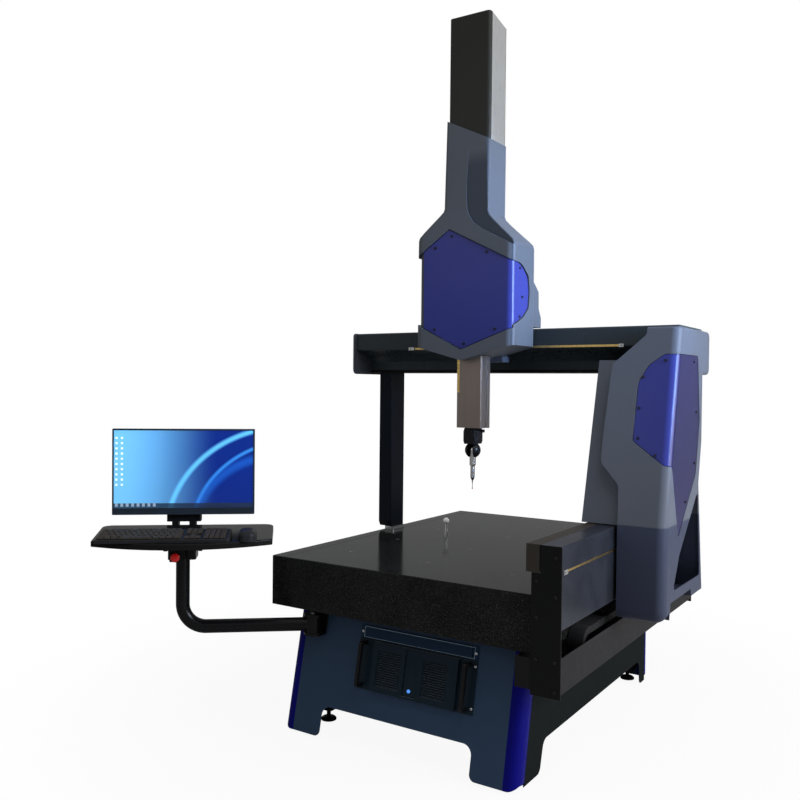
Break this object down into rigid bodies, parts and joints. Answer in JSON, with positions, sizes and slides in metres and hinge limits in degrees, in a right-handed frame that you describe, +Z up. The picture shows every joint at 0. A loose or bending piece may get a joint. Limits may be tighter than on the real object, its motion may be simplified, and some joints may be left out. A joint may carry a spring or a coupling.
{
  "type": "coordinate measuring machine",
  "caption": "Moving-bridge coordinate measuring machine: granite table on a steel stand, indexing probe on a vertical ram, and a swing-arm keyboard tray with screen.",
  "frame": {"origin": "centre of the granite work surface", "axes": "+Z up, normal to the work surface; +X right along the bridge beam; +Y to the back along the guide"},
  "size_m": [1.8234, 2.1287, 2.727],
  "materials": {
    "granite": "lapped, black with fine light speckle",
    "guide_granite": "ground, blue-grey with speckle",
    "insert_steel": "turned",
    "black_paint": "satin black",
    "strip_brown": "matt brown-black",
    "gold_tape": "gold-coloured grating",
    "steel": "bright",
    "zinc_grey": "warm grey, satin",
    "chain_plastic": "black moulded",
    "rubber_black": "matt",
    "slate_paint": "slate blue, fine texture",
    "dark_paint": "near-black blue, fine texture",
    "post_blue": "deep blue, satin",
    "controller_grey": "slate, satin",
    "computer_black": "black, satin",
    "button_blue": "lit blue",
    "arm_black": "gloss black",
    "estop_body": "black",
    "estop_red": "red",
    "tray_black": "gloss black",
    "keyboard_black": "black",
    "key_grey": "dark grey",
    "monitor_black": "black",
    "screen": "lit display",
    "leg_blue": "dark blue-grey, satin",
    "beam_black": "gloss dark grey",
    "casting_dark": "dark slate",
    "cover_grey": "moulded, grey",
    "panel_blue": "deep blue",
    "head_grey": "moulded, blue-grey",
    "alloy_dark": "dark anodised",
    "silver": "brushed",
    "probe_black": "black anodised",
    "probe_silver": "turned",
    "stylus_grey": "ground",
    "ruby": "ruby",
    "ceramic_white": "polished"
  },
  "bodies": {
    "base": {"granite_table": "granite", "table_inserts": "insert_steel", "guide_beam": "guide_granite", "guide_inner_strip": "strip_brown", "guide_end_plates": "black_paint", "y_scale": "gold_tape", "y_scale_clips": "steel", "cable_trough": "zinc_grey", "energy_chain_run": "chain_plastic", "support_pads": "rubber_black", "stand_frame": "black_paint", "stand_front_panel": "slate_paint", "stand_rear_panel": "slate_paint", "stand_side_panels": "dark_paint", "corner_posts": "post_blue", "levelling_feet": "strip_brown", "rack_controller": "controller_grey", "rack_computer": "computer_black", "computer_handles": "computer_black", "arm_bracket": "arm_black", "reference_stem": "silver", "reference_sphere": "ceramic_white"},
    "chain": {"energy_chain_loop": "chain_plastic"},
    "power": {"power_button": "button_blue"},
    "arm": {"arm_tube": "arm_black"},
    "workstation": {"workstation_bracket": "arm_black", "estop_box": "estop_body", "keyboard_tray": "tray_black", "keyboard_case": "keyboard_black", "keyboard_keys": "key_grey", "mouse": "monitor_black", "monitor_stand": "black_paint"},
    "estop": {"estop_button": "estop_red"},
    "monitor": {"monitor_case": "monitor_black", "monitor_screen": "screen"},
    "bridge": {"left_leg": "leg_blue", "left_air_bearing": "steel", "bridge_beam": "beam_black", "beam_base_plate": "black_paint", "x_scale": "gold_tape", "x_scale_clips": "steel", "left_end_cap": "cover_grey", "right_leg": "casting_dark", "bearing_block": "casting_dark", "right_cover": "cover_grey", "blue_side_panel": "panel_blue"},
    "carriage": {"carriage_block": "casting_dark", "head_cover": "head_grey", "head_panel": "panel_blue", "column_cover": "black_paint", "column_sides": "silver", "carriage_rear_cover": "head_grey"},
    "ram": {"ram": "alloy_dark", "z_scale": "gold_tape", "probe_body": "probe_black"},
    "probe_head": {"probe_ball": "probe_black"},
    "probe": {"probe_module": "probe_silver", "stylus": "stylus_grey", "stylus_ball": "ruby"}
  },
  "joints": [
    {"name": "bridge_y", "type": "slide", "parent": "base", "child": "bridge", "axis": [0, 1, 0], "range_m": [-0.44, 0.51]},
    {"name": "chain_roll", "type": "slide", "parent": "base", "child": "chain", "axis": [0, 1, 0], "range_m": [-0.22, 0.255]},
    {"name": "carriage_x", "type": "slide", "parent": "bridge", "child": "carriage", "axis": [1, 0, 0], "range_m": [-0.43, 0.33]},
    {"name": "ram_z", "type": "slide", "parent": "carriage", "child": "ram", "axis": [0, 0, 1], "range_m": [-0.243, 0.245]},
    {"name": "head_rotate", "type": "hinge", "parent": "ram", "child": "probe_head", "pos_m": [0.034, -0.218, 0.4], "axis": [0, 0, 1], "range_deg": [-180, 180]},
    {"name": "head_tilt", "type": "hinge", "parent": "probe_head", "child": "probe", "pos_m": [0.034, -0.218, 0.4], "axis": [-1, 0, 0], "range_deg": [0, 105]},
    {"name": "arm_swivel", "type": "hinge", "parent": "base", "child": "arm", "pos_m": [-0.375, -0.695, -0.243], "axis": [0, 0, 1], "range_deg": [-25, 50]},
    {"name": "tray_swivel", "type": "hinge", "parent": "arm", "child": "workstation", "pos_m": [-0.74117, -1.00225, 0.01], "axis": [0, 0, 1], "range_deg": [-30, 30]},
    {"name": "monitor_tilt", "type": "hinge", "parent": "workstation", "child": "monitor", "pos_m": [-0.82859, -0.89807, 0.32], "axis": [-0.766, -0.6428, 0], "range_deg": [-5, 20]},
    {"name": "estop_press", "type": "slide", "parent": "workstation", "child": "estop", "axis": [-0.6428, 0.766, 0], "range_m": [0, 0.004], "stiffness_N_per_m": 900},
    {"name": "power_press", "type": "slide", "parent": "base", "child": "power", "axis": [0, 0.9778, -0.2095], "range_m": [0, 0.0025], "stiffness_N_per_m": 400}
  ],
  "couplings": [
    {"joint": "chain_roll", "follows": "bridge_y", "ratio": 0.5}
  ]
}
